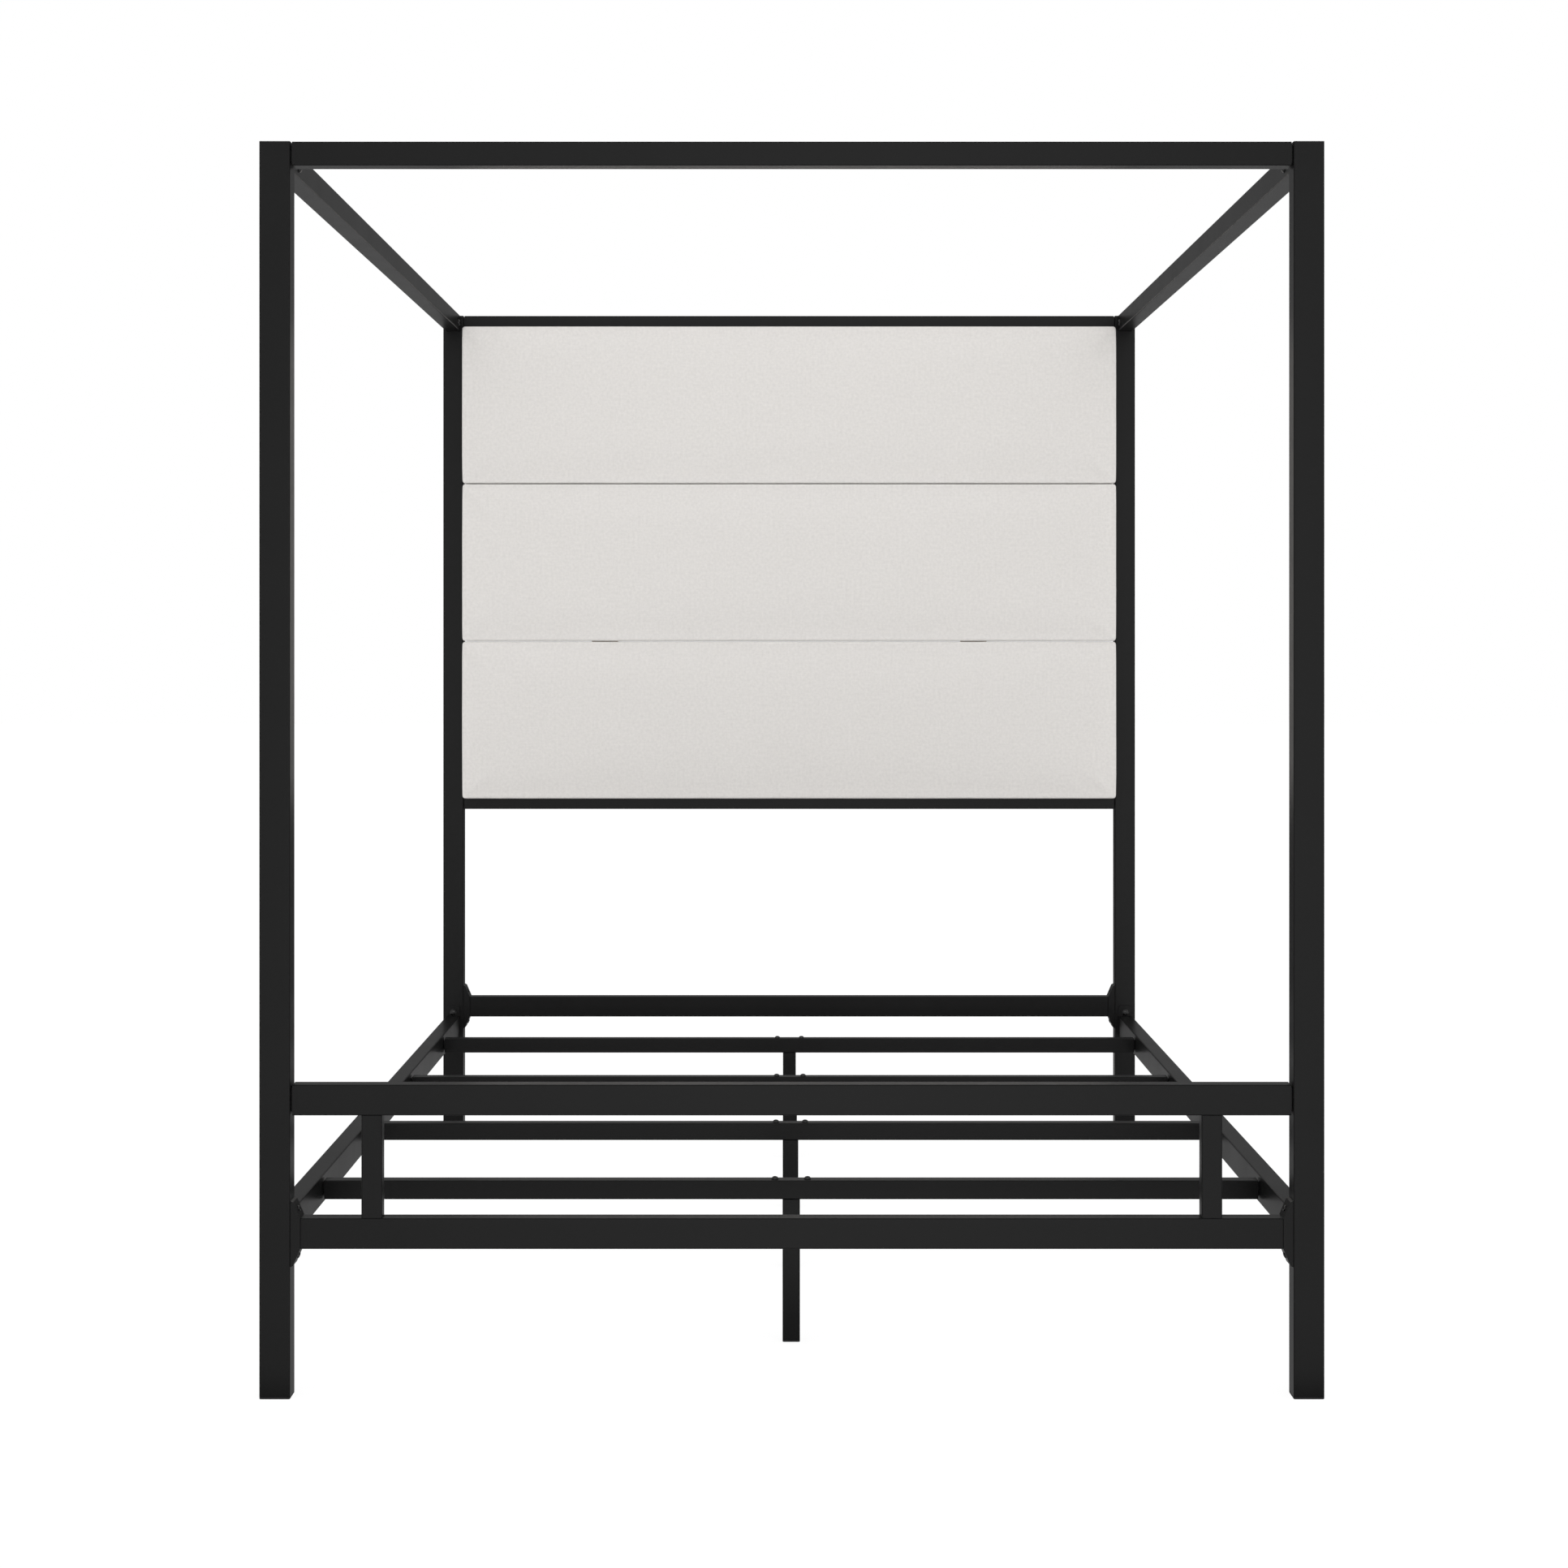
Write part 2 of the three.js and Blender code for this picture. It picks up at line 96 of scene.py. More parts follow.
# ---- Settings a user would change ----------------------------------------------------------------
class BedFinishSettings(bpy.types.PropertyGroup):
    """Colours of the bed's finishes"""

    coat_colour: FloatVectorProperty(
        name="Powder coat", description="Colour of the coated steel tubes",
        subtype="COLOR", size=3, min=0, max=1, default=(0.0078, 0.0078, 0.0078))
    bolt_colour: FloatVectorProperty(
        name="Bolts", description="Colour of the blackened bolts",
        subtype="COLOR", size=3, min=0, max=1, default=(0.003, 0.003, 0.0031))
    foot_colour: FloatVectorProperty(
        name="Feet", description="Colour of the moulded feet",
        subtype="COLOR", size=3, min=0, max=1, default=(0.008, 0.008, 0.0085))
    linen_colour: FloatVectorProperty(
        name="Linen", description="Colour of the woven cover of the headboard pads",
        subtype="COLOR", size=3, min=0, max=1, default=(0.676, 0.655, 0.633))
    wood_colour: FloatVectorProperty(
        name="Plywood", description="Colour of the boards and battens behind the pads",
        subtype="COLOR", size=3, min=0, max=1, default=(0.56, 0.37, 0.19))
    zinc_colour: FloatVectorProperty(
        name="Zinc", description="Colour of the plated steel",
        subtype="COLOR", size=3, min=0, max=1, default=(0.55, 0.56, 0.58))


class BedPaddingSettings(bpy.types.PropertyGroup):
    """Shape and stuffing of the headboard pads"""

    edge_radius: FloatProperty(
        name="Edge radius", description="Rounding between a pad's face and its sides",
        unit="LENGTH", min=0.002, max=0.018, default=0.0048)
    corner_radius: FloatProperty(
        name="Corner radius", description="Rounding of a pad's outline at its four corners",
        unit="LENGTH", min=0.002, max=0.02, default=0.007)
    grid_step: FloatProperty(
        name="Grid step", description="Distance between the cover's mesh lines",
        unit="LENGTH", min=0.004, max=0.02, default=0.0074)
    face_set_back: FloatProperty(
        name="Face set back", description="How far the cover's face starts behind its final place",
        unit="LENGTH", min=0, max=0.01, default=0.0036)
    pressure: FloatProperty(
        name="Pressure", description="Push of the foam on the cover during the simulation",
        min=0, max=20, default=4)
    most_swell: FloatProperty(
        name="Most swell", description="Cap on how far a point of the cover may rise",
        unit="LENGTH", min=0, max=0.02, default=0.0052)
    most_sink: FloatProperty(
        name="Most sink", description="Cap on how far a point of the cover may sink",
        unit="LENGTH", min=0, max=0.01, default=0.0012)
    most_pull: FloatProperty(
        name="Most pull", description="Cap on how far a point of the cover may move sideways",
        unit="LENGTH", min=0, max=0.01, default=0.0004)
    side_bulge: FloatProperty(
        name="Side bulge", description="How far the foam pushes the sides out between corners",
        unit="LENGTH", min=0, max=0.0016, default=0.001)
    fold_width: FloatProperty(
        name="Fold width", description="Width of the cover's strip stapled behind the board",
        unit="LENGTH", min=0.01, max=0.08, default=0.034)


class BedFastenerSettings(bpy.types.PropertyGroup):
    """Sizes of the bolts, screws and staples"""

    frame_bolt: FloatProperty(
        name="Frame bolt head", description="Head diameter of the bolts that join the tubes",
        unit="LENGTH", min=0.006, max=0.03, default=0.0145)
    bracket_bolt: FloatProperty(
        name="Bracket bolt head", description="Head diameter of the bolts in the corner brackets",
        unit="LENGTH", min=0.006, max=0.03, default=0.0088)
    wood_screw: FloatProperty(
        name="Wood screw head", description="Head diameter of the screws in the battens",
        unit="LENGTH", min=0.004, max=0.02, default=0.0082)
    staple_pitch: FloatProperty(
        name="Staple pitch", description="Distance between staples along the folded cover",
        unit="LENGTH", min=0.01, max=0.1, default=0.032)
    staple_seed: IntProperty(
        name="Staple seed", description="Seed of the staples' uneven turns", min=0, default=7)


class BedStudioSettings(bpy.types.PropertyGroup):
    """Camera and light"""

    lens: FloatProperty(
        name="Lens", description="Focal length of the camera", unit="CAMERA", default=59.55)
    distance: FloatProperty(
        name="Distance", description="From the camera to the front posts' faces",
        unit="LENGTH", default=3.9263)
    height: FloatProperty(
        name="Height", description="Height of the camera above the floor",
        unit="LENGTH", default=1.1511)
    offset: FloatProperty(
        name="Offset", description="How far the camera stands right of the middle",
        unit="LENGTH", default=-0.0116)
    shift: FloatProperty(
        name="Rise", description="Vertical shift of the lens, in picture widths", default=-0.0924)
    room_light: FloatProperty(
        name="Room light", description="Brightness of the walls and ceiling", default=0.80)
    floor_light: FloatProperty(
        name="Floor light", description="Brightness of the floor in reflections", default=0.90)
    far_wall: FloatProperty(
        name="Far wall", description="Brightness of the wall behind the bed", default=0.32)
    far_foot: FloatProperty(
        name="Far wall's foot", description="Brightness where the far wall meets the floor",
        default=0.08)
    soft_boxes: FloatProperty(
        name="Soft boxes", description="Brightness of the soft lights overhead and at the sides",
        default=0.25)
    far_floor: FloatProperty(
        name="Far floor", description="Brightness of the floor behind the bed", default=0.66)
    front_light: FloatProperty(
        name="Front light", description="Brightness of the soft light behind the camera",
        default=6.2)


# ---- Frame measures ------------------------------------------------------------------------------
def high(node):
    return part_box(node)[1]


def middle(node):
    lo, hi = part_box(node)
    return (lo + hi) / 2


# ---- Node trees ----------------------------------------------------------------------------------
class Link:
    """A node's output. Arithmetic between links and numbers adds Math nodes to their tree."""

    def __init__(self, nodes, socket):
        self.nodes = nodes
        self.socket = socket

    def other(self, name):
        """Another output of the same node."""
        return Link(self.nodes, self.socket.node.outputs[name])

    def math(self, operation, *values):
        return self.nodes.function(operation, *values)

    def __add__(self, value):
        return self.math("ADD", self, value)

    def __radd__(self, value):
        return self.math("ADD", value, self)

    def __sub__(self, value):
        return self.math("SUBTRACT", self, value)

    def __rsub__(self, value):
        return self.math("SUBTRACT", value, self)

    def __mul__(self, value):
        return self.math("MULTIPLY", self, value)

    def __rmul__(self, value):
        return self.math("MULTIPLY", value, self)

    def __truediv__(self, value):
        return self.math("DIVIDE", self, value)

    def __neg__(self):
        return self.math("MULTIPLY", self, -1)

    def __abs__(self):
        return self.math("ABSOLUTE", self)

    def __lt__(self, value):
        return self.math("LESS_THAN", self, value)

    def __gt__(self, value):
        return self.math("GREATER_THAN", self, value)


class Nodes:
    """Adds nodes to one tree."""

    def __init__(self, tree):
        self.tree = tree
        self.tree.nodes.clear()

    def add(self, kind, settings=None, inputs=None, output=0):
        """Makes a node of any kind: its settings come first, then its values and links."""
        node = self.tree.nodes.new(kind)
        for name, value in (settings or {}).items():
            if name == "stops":
                self._set_stops(node.color_ramp, value)
            else:
                setattr(node, name, value)
        for key, value in (inputs or {}).items():
            for each in value if isinstance(value, list) else [value]:
                if isinstance(each, Link):
                    self.tree.links.new(each.socket, node.inputs[key])
                else:
                    node.inputs[key].default_value = each
        return Link(self, node.outputs[output]) if node.outputs else node

    @staticmethod
    def _set_stops(ramp, stops):
        while len(ramp.elements) < len(stops):
            ramp.elements.new(1)
        for element, (position, colour) in zip(ramp.elements, stops):
            element.position = position
            element.color = (*colour, 1)

    def vector(self, operation, *values):
        return self.add("ShaderNodeVectorMath", {"operation": operation}, dict(enumerate(values)))

    def scaled(self, vector, scale):
        return self.add("ShaderNodeVectorMath", {"operation": "SCALE"}, {
            "Vector": vector, "Scale": scale})

    def split(self, vector):
        x = self.add("ShaderNodeSeparateXYZ", None, {0: vector})
        return x, x.other("Y"), x.other("Z")

    def joined(self, x, y, z):
        return self.add("ShaderNodeCombineXYZ", None, {0: x, 1: y, 2: z})

    def function(self, operation, *values):
        return self.add("ShaderNodeMath", {"operation": operation}, dict(enumerate(values)))

    def between(self, first, second, factor):
        """Mixes two colours."""
        return self.add(
            "ShaderNodeMix", {"data_type": "RGBA"}, {0: factor, 6: first, 7: second}, output=2)


class Finish(Nodes):
    """A procedural material round one Principled shader."""

    def __init__(self, name):
        self.material = bpy.data.materials.new(name)
        self.material.use_nodes = True
        super().__init__(self.material.node_tree)
        self.point = self.add("ShaderNodeTexCoord", output="Object")

    def noise(self, size, detail=2, vector=None, roughness=0.5):
        """Noise from 0 to 1, with features about as large as size."""
        values = {"Vector": vector or self.point, "Scale": 1 / size, "Detail": detail,
                  "Roughness": roughness}
        return self.add("ShaderNodeTexNoise", None, values)

    def stretched(self, x, y, z):
        """The object's own coordinates with each axis divided by its stretch."""
        return self.vector("DIVIDE", self.point, (x, y, z))

    def bump(self, height, distance, strength):
        return self.add("ShaderNodeBump", None, {
            "Height": height, "Distance": distance, "Strength": strength})

    def surface(self, **sockets):
        """Ends the material. Underscores in the names stand for spaces."""
        values = {name.replace("_", " "): value for name, value in sockets.items()}
        shader = self.add("ShaderNodeBsdfPrincipled", None, values)
        self.add("ShaderNodeOutputMaterial", None, {"Surface": shader})
        return self.material


def colour_of(settings_colour, scale=1.0):
    return (*(min(1.0, part * scale) for part in settings_colour), 1)


# ---- Finishes ------------------------------------------------------------------------------------
def powder_coat():
    """Satin black powder coat: a fine orange peel and a slightly uneven gloss."""
    colour = bpy.context.scene.bed_finish.coat_colour
    f = Finish("Powder coat")
    cloudy = f.noise(0.11, detail=3)
    speckle = f.noise(0.0009, detail=1)
    peel = f.noise(0.0016, detail=2)
    shade = f.between(colour_of(colour, 0.86), colour_of(colour, 1.16), cloudy)
    shade = f.between(shade, colour_of(colour, 1.9), (speckle > 0.68) * 0.35)
    roughness = 0.34 + (cloudy - 0.5) * 0.07 + (peel - 0.5) * 0.05
    normal = f.bump(peel, 0.00007, strength=0.35)
    return f.surface(
        Base_Color=shade, Roughness=roughness, Normal=normal, Specular_IOR_Level=0.056,
        Coat_Weight=0.012, Coat_Roughness=0.24, Coat_IOR=1.5)


def black_bolt():
    """Blackened steel with fine turning marks."""
    colour = bpy.context.scene.bed_finish.bolt_colour
    f = Finish("Black oxide")
    mottle = f.noise(0.003, detail=3)
    marks = f.noise(0.0004, detail=1)
    shade = f.between(colour_of(colour, 0.7), colour_of(colour, 1.5), mottle)
    normal = f.bump(marks, 0.00003, strength=0.3)
    return f.surface(
        Base_Color=shade, Roughness=0.13 + mottle * 0.14, Normal=normal, Specular_IOR_Level=0.4)


def foot_plastic():
    """Moulded plastic with a fine spark-eroded grain."""
    colour = bpy.context.scene.bed_finish.foot_colour
    f = Finish("Moulded plastic")
    grain = f.noise(0.0006, detail=3)
    cloudy = f.noise(0.02, detail=2)
    shade = f.between(colour_of(colour, 0.8), colour_of(colour, 1.3), cloudy)
    normal = f.bump(grain, 0.00008, strength=0.5)
    return f.surface(
        Base_Color=shade, Roughness=0.58 + grain * 0.12, Normal=normal, Specular_IOR_Level=0.3)


def linen():
    """Off-white linen in a plain weave with slubs, a soft mottle of thick and thin yarn, and
    painted shade between the threads.
    """
    colour = bpy.context.scene.bed_finish.linen_colour
    pitch = 1.15 * MM
    f = Finish("Linen")
    cloth = f.add("ShaderNodeAttribute", {"attribute_name": "cloth"}, output="Vector")
    wander = f.add("ShaderNodeTexNoise", None, {"Vector": cloth, "Scale": 90, "Detail": 1},
                   output="Color")
    bent = f.vector("ADD", cloth, f.scaled(wander, 0.35 * pitch))
    across, up, _ = f.split(f.scaled(bent, math.pi / pitch))
    warp_thread = abs(f.function("SINE", across))
    weft_thread = abs(f.function("SINE", up))
    warp_cell = f.function("SIGN", f.function("SINE", across))
    weft_cell = f.function("SIGN", f.function("SINE", up))
    warp = warp_thread * (0.6 + 0.4 * f.function("COSINE", up) * warp_cell)
    weft = weft_thread * (0.6 + 0.4 * f.function("COSINE", across) * weft_cell)
    weave = f.function("MAXIMUM", warp, weft)

    across_slub = f.noise(0.004, 3, f.vector("DIVIDE", cloth, (9, 0.6, 1)))
    upright_slub = f.noise(0.004, 3, f.vector("DIVIDE", cloth, (0.6, 9, 1)))
    slub = (across_slub + upright_slub) * 0.5
    mottle = f.noise(0.0065, 3, cloth, roughness=0.6)
    cloudy = f.noise(0.16, 2, cloth)

    tone = (mottle - 0.5) * 1.25 + (slub - 0.5) * 0.60 + (cloudy - 0.5) * 0.05 + 0.5
    shade = f.between(colour_of(colour, 0.88), colour_of(colour, 1.1), tone)
    # Painted shade: the colour darkens towards 0.8 of the linen's own colour where the weave is
    # low, in the hollows between the threads.
    shade = f.between(colour_of(colour, 0.80), shade, 0.72 + weave * 0.3)
    height = weave * 0.7 + slub * 0.5 + mottle * 0.25
    normal = f.bump(height, 0.00035, strength=0.45)
    return f.surface(
        Base_Color=shade, Roughness=0.86 + (mottle - 0.5) * 0.12, Normal=normal,
        Specular_IOR_Level=0.2, Sheen_Weight=0.08, Sheen_Roughness=0.5)


def wood(name, grain_axis):
    """Plywood face with long grain, or ply edges where the layers show."""
    colour = bpy.context.scene.bed_finish.wood_colour
    f = Finish(name)
    stretch = [0.05, 0.05, 0.05]
    stretch[grain_axis] = 1.1
    grain = f.noise(0.18, 6, f.stretched(*stretch), roughness=0.62)
    fibre_stretch = [0.02, 0.02, 0.02]
    fibre_stretch[grain_axis] = 0.6
    fibre = f.noise(0.06, 4, f.stretched(*fibre_stretch))
    figure = f.add("ShaderNodeValToRGB", {"stops": (
        (0.30, (0.42, 0.27, 0.13)), (0.47, tuple(colour)), (0.62, (0.66, 0.47, 0.27)),
        (0.78, (0.50, 0.32, 0.16)))}, {"Fac": grain})
    _, depth, _ = f.split(f.point)
    ply = f.function("SINE", depth * (2 * math.pi / (4 * MM)))
    normal_y = f.split(f.add("ShaderNodeNewGeometry", output="Normal"))[1]
    on_edge = abs(normal_y) < 0.5
    dark = on_edge * (ply > 0.2) * 0.45 + (fibre - 0.5) * 0.3 + 0.1
    shade = f.between(figure, (0.24, 0.14, 0.07, 1), dark)
    normal = f.bump(fibre + grain * 0.5, 0.0003, strength=0.5)
    return f.surface(
        Base_Color=shade, Roughness=0.66 + (fibre - 0.5) * 0.2, Normal=normal,
        Specular_IOR_Level=0.3)


def zinc_steel():
    """Bright zinc plate with a faint spangle."""
    colour = bpy.context.scene.bed_finish.zinc_colour
    f = Finish("Zinc plate")
    spangle = f.add("ShaderNodeTexVoronoi", None, {"Vector": f.point, "Scale": 260}, output="Color")
    cloudy = f.noise(0.02, 3)
    grey = f.split(spangle)[0]
    shade = f.between(colour_of(colour, 0.82), colour_of(colour, 1.12), grey * 0.6 + cloudy * 0.4)
    normal = f.bump(f.noise(0.0008, 2), 0.00004, strength=0.4)
    return f.surface(
        Base_Color=shade, Metallic=1.0, Roughness=0.30 + cloudy * 0.16, Normal=normal)


# ---- Meshes --------------------------------------------------------------------------------------
def new_piece(name, mesh, material, replaced=()):
    """Puts a finished mesh in the scene and rides it on the bed's body."""
    piece = bpy.data.objects.new(name, mesh)
    bpy.context.scene.collection.objects.link(piece)
    mesh.materials.clear()
    mesh.materials.append(material)
    smooth_by_angle(mesh)
    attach(piece, BODY)
    if replaced:
        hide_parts(*replaced)
    return piece


def smooth_by_angle(mesh, angle=SMOOTH_ANGLE):
    mesh.shade_smooth()
    mesh.set_sharp_from_angle(angle=angle)


def anchor_mesh(anchors):
    """A mesh of loose points, each with the direction that its fastener faces."""
    mesh = bpy.data.meshes.new("anchors")
    mesh.from_pydata([tuple(place) for place, _ in anchors], [], [])
    facing = mesh.attributes.new("facing", "FLOAT_VECTOR", "POINT")
    facing.data.foreach_set("vector", [part for _, way in anchors for part in way])
    return mesh


# ---- Geometry Nodes ------------------------------------------------------------------------------
class Recipe(Nodes):
    """A Geometry Nodes tree with named inputs."""

    def __init__(self, name, sizes):
        tree = bpy.data.node_groups.new(name, "GeometryNodeTree")
        super().__init__(tree)
        tree.interface.new_socket("Geometry", in_out="INPUT", socket_type="NodeSocketGeometry")
        for size in sizes:
            kind = "NodeSocketInt" if size == "Seed" else "NodeSocketFloat"
            tree.interface.new_socket(size, in_out="INPUT", socket_type=kind)
        tree.interface.new_socket("Material", in_out="INPUT", socket_type="NodeSocketMaterial")
        tree.interface.new_socket("Geometry", in_out="OUTPUT", socket_type="NodeSocketGeometry")
        self.given = self.add("NodeGroupInput")

    def __getitem__(self, name):
        return self.given.other(name)

    def finish(self, instances):
        """Realizes the instances and gives them the material."""
        solid = self.add("GeometryNodeRealizeInstances", None, {0: instances})
        painted = self.add(
            "GeometryNodeSetMaterial", None, {"Geometry": solid, "Material": self["Material"]})
        self.add("NodeGroupOutput", None, {0: painted})
        return self.tree

    def moved(self, geometry, x=0.0, y=0.0, z=0.0):
        place = self.joined(x, y, z)
        return self.add("GeometryNodeTransform", None, {"Geometry": geometry, "Translation": place})

    def cylinder(self, sides, radius, depth, segments=1):
        """A closed cylinder that stands on its base."""
        values = {"Vertices": sides, "Side Segments": segments, "Radius": radius, "Depth": depth}
        standing = self.add("GeometryNodeMeshCylinder", {"fill_type": "NGON"}, values)
        return self.moved(standing, z=depth * 0.5)


def fastener_recipe():
    """Button-head bolts: a domed head with a socket, on a flange, one for each point."""
    r = Recipe("Button head fasteners", (
        "Head Diameter", "Head Rise", "Flange Diameter", "Flange Thickness", "Socket Width",
        "Socket Depth"))
    round_sides, hex_sides, dome_steps, land = 28, 6, 7, math.radians(62)
    blank = r.cylinder(round_sides, 1.0, 1.0, dome_steps)
    x, y, z = r.split(r.add("GeometryNodeInputPosition"))
    radius = r["Head Diameter"] * 0.5
    turn = z * land
    spread = r.function("COSINE", turn) * radius
    rise = r.function("SINE", turn) * (r["Head Rise"] * (1 / math.sin(land)))
    dome = r.add("GeometryNodeSetPosition", None, {
        "Geometry": blank, "Position": r.joined(x * spread, y * spread, rise)})
    socket = r.cylinder(hex_sides, r["Socket Width"] * 0.5, r["Socket Depth"] * 2)
    socket = r.moved(socket, z=r["Head Rise"] - r["Socket Depth"])
    head = r.add("GeometryNodeMeshBoolean", {"operation": "DIFFERENCE", "solver": "EXACT"}, {
        "Mesh 1": dome, "Mesh 2": socket})
    flange = r.cylinder(round_sides, r["Flange Diameter"] * 0.5, r["Flange Thickness"])
    lifted = r.moved(head, z=r["Flange Thickness"])
    whole = r.add("GeometryNodeJoinGeometry", None, {0: [flange, lifted]})
    facing = r.add("GeometryNodeInputNamedAttribute", {"data_type": "FLOAT_VECTOR"}, {
        "Name": "facing"})
    rotation = r.add("FunctionNodeAlignRotationToVector", {"axis": "Z"}, {"Vector": facing})
    placed = r.add("GeometryNodeInstanceOnPoints", None, {
        "Points": r["Geometry"], "Instance": whole, "Rotation": rotation})
    return r.finish(placed)


def staple_recipe():
    """Staples along the edges of a flat loop that faces +Y, each turned a little."""
    r = Recipe("Staples", ("Pitch", "Crown", "Wire", "Uneven", "Seed"))
    path = r.add("GeometryNodeMeshToCurve", None, {"Mesh": r["Geometry"]})
    spaced = r.add("GeometryNodeResampleCurve", {"mode": "LENGTH"}, {
        "Curve": path, "Length": r["Pitch"]})
    wire_sides, flat_wire = 8, (0.6, 1.9, 1)
    bar = r.cylinder(wire_sides, r["Wire"] * 0.5, r["Crown"])
    lying = r.add("GeometryNodeTransform", None, {
        "Geometry": r.moved(bar, z=r["Crown"] * -0.5), "Rotation": (0, math.radians(90), 0),
        "Scale": flat_wire})
    leg = r.moved(r.cylinder(wire_sides, r["Wire"] * 0.5, r["Wire"]), z=r["Wire"] * -1)
    legs = [r.moved(leg, x=r["Crown"] * half) for half in (-0.46, 0.46)]
    staple = r.add("GeometryNodeJoinGeometry", None, {0: [lying, *legs]})
    outward = r.add("FunctionNodeAlignRotationToVector", {"axis": "Z"}, {"Vector": (0, 1, 0)})
    along = r.add("FunctionNodeAlignRotationToVector", {"axis": "X", "pivot_axis": "Z"}, {
        "Rotation": outward, "Vector": r.add("GeometryNodeInputTangent")})
    turn = r.add("FunctionNodeRandomValue", {"data_type": "FLOAT"}, {
        2: r["Uneven"] * -1, 3: r["Uneven"], "Seed": r["Seed"]}, output=1)
    spin = r.add("FunctionNodeAxisAngleToRotation", None, {"Axis": (0, 0, 1), "Angle": turn})
    rotation = r.add("FunctionNodeRotateRotation", {"rotation_space": "LOCAL"}, {
        "Rotation": along, "Rotate By": spin})
    placed = r.add("GeometryNodeInstanceOnPoints", None, {
        "Points": spaced, "Instance": staple, "Rotation": rotation})
    return r.finish(placed)


def grown(recipe, base, sizes, material):
    """Runs a recipe once over a base mesh and returns the outcome as a plain mesh."""
    source = bpy.data.objects.new("source", base)
    modifier = source.modifiers.new("Recipe", "NODES")
    modifier.node_group = recipe
    values = {**sizes, "Material": material}
    for item in recipe.interface.items_tree:
        if item.in_out == "INPUT" and item.name in values:
            modifier[item.identifier] = values[item.name]
    bpy.context.scene.collection.objects.link(source)
    evaluated = source.evaluated_get(bpy.context.evaluated_depsgraph_get())
    mesh = bpy.data.meshes.new_from_object(evaluated)
    if not mesh.polygons:
        raise RuntimeError(f"{recipe.name} made nothing")
    source.modifiers.remove(modifier)
    bpy.data.objects.remove(source)
    return mesh


def button_heads(name, anchors, head, rise, material, flange=1.06, replaced=()):
    """One piece of like fasteners: a head of this diameter and rise at each anchor."""
    sizes = {
        "Head Diameter": head, "Head Rise": rise, "Flange Diameter": head * flange,
        "Flange Thickness": FLANGE, "Socket Width": head * 0.42, "Socket Depth": rise * 0.55}
    mesh = grown(fastener_recipe(), anchor_mesh(anchors), sizes, material)
    mesh.name = name
    return new_piece(name, mesh, material, replaced)


# ---- Upholstery ----------------------------------------------------------------------------------
def graded(half, step):
    """Coordinates from -half to half, closer together near both ends."""
    edge = [0, 2.2 * MM, 5.2 * MM, 9.2 * MM, 14.5 * MM]
    inner = half - edge[-1]
    count = max(2, round(2 * inner / step))
    run = [-inner + 2 * inner * i / count for i in range(count + 1)]
    ends = [half - distance for distance in edge[:-1]]
    return [-value for value in ends] + run + ends[::-1]


def softened(x, z, half_x, half_z, radius):
    """Moves a point of a rectangle's edge onto the same rectangle with round corners."""
    over_x = abs(x) - (half_x - radius)
    over_z = abs(z) - (half_z - radius)
    if radius <= 0 or over_x <= 0 or over_z <= 0:
        return x, z
    length = math.hypot(over_x, over_z)
    new_x = half_x - radius + radius * over_x / length
    new_z = half_z - radius + radius * over_z / length
    return math.copysign(new_x, x), math.copysign(new_z, z)


class PadShape:
    """Measures of one headboard pad, from its own solid and its board."""

    def __init__(self, name, settings):
        lo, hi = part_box(f"headboard_panel_{name}")
        board_lo, board_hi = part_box(f"headboard_board_{name}")
        self.middle = (lo + hi) / 2
        self.half_x = (hi.x - lo.x) / 2
        self.half_z = (hi.z - lo.z) / 2
        self.face = lo.y
        self.back = hi.y
        self.board_front = board_lo.y
        self.board_inset = self.half_x - (board_hi.x - board_lo.x) / 2 - 0.1 * MM
        self.held = self.board_front - HELD_DEPTH
        self.settings = settings

    def freedom(self, y):
        """How free the cover is at this depth: 0 where it is held to the board, 1 in front."""
        return max(0.0, min(1.0, (self.held - y) / FREE_DEPTH))

    def rings(self):
        """Rings round the pad from its face to the pocket that holds the board: how far each is
        inside the outline, its depth, and how round its corners are."""
        s = self.settings
        start = self.face + s.face_set_back
        edge_steps, side_steps, side_inset = 5, 5, 0.3 * MM
        for step in range(1, edge_steps + 1):
            angle = math.pi / 2 * step / edge_steps
            inset = s.edge_radius * (1 - math.sin(angle))
            depth = start + s.edge_radius * (1 - math.cos(angle))
            yield inset, depth, s.corner_radius * math.sin(angle)
        side_start = start + s.edge_radius
        for step in range(1, side_steps + 1):
            part = step / side_steps
            depth = side_start + (self.back - side_start) * part
            yield side_inset * part, depth, s.corner_radius
        fold = self.back + FOLD_DEPTH
        yield 0.8 * MM, fold, s.corner_radius
        for part in (0.12, 0.5, 0.97):
            yield s.fold_width * part, fold, 2 * MM
        yield s.fold_width, fold - 0.3 * MM, 2 * MM
        yield s.fold_width, self.back + 0.2 * MM, 2 * MM
        yield self.board_inset + 2 * MM, self.back + 0.15 * MM, 1 * MM
        yield self.board_inset, self.back + 0.1 * MM, 0
        yield self.board_inset, self.board_front - 0.1 * MM, 0


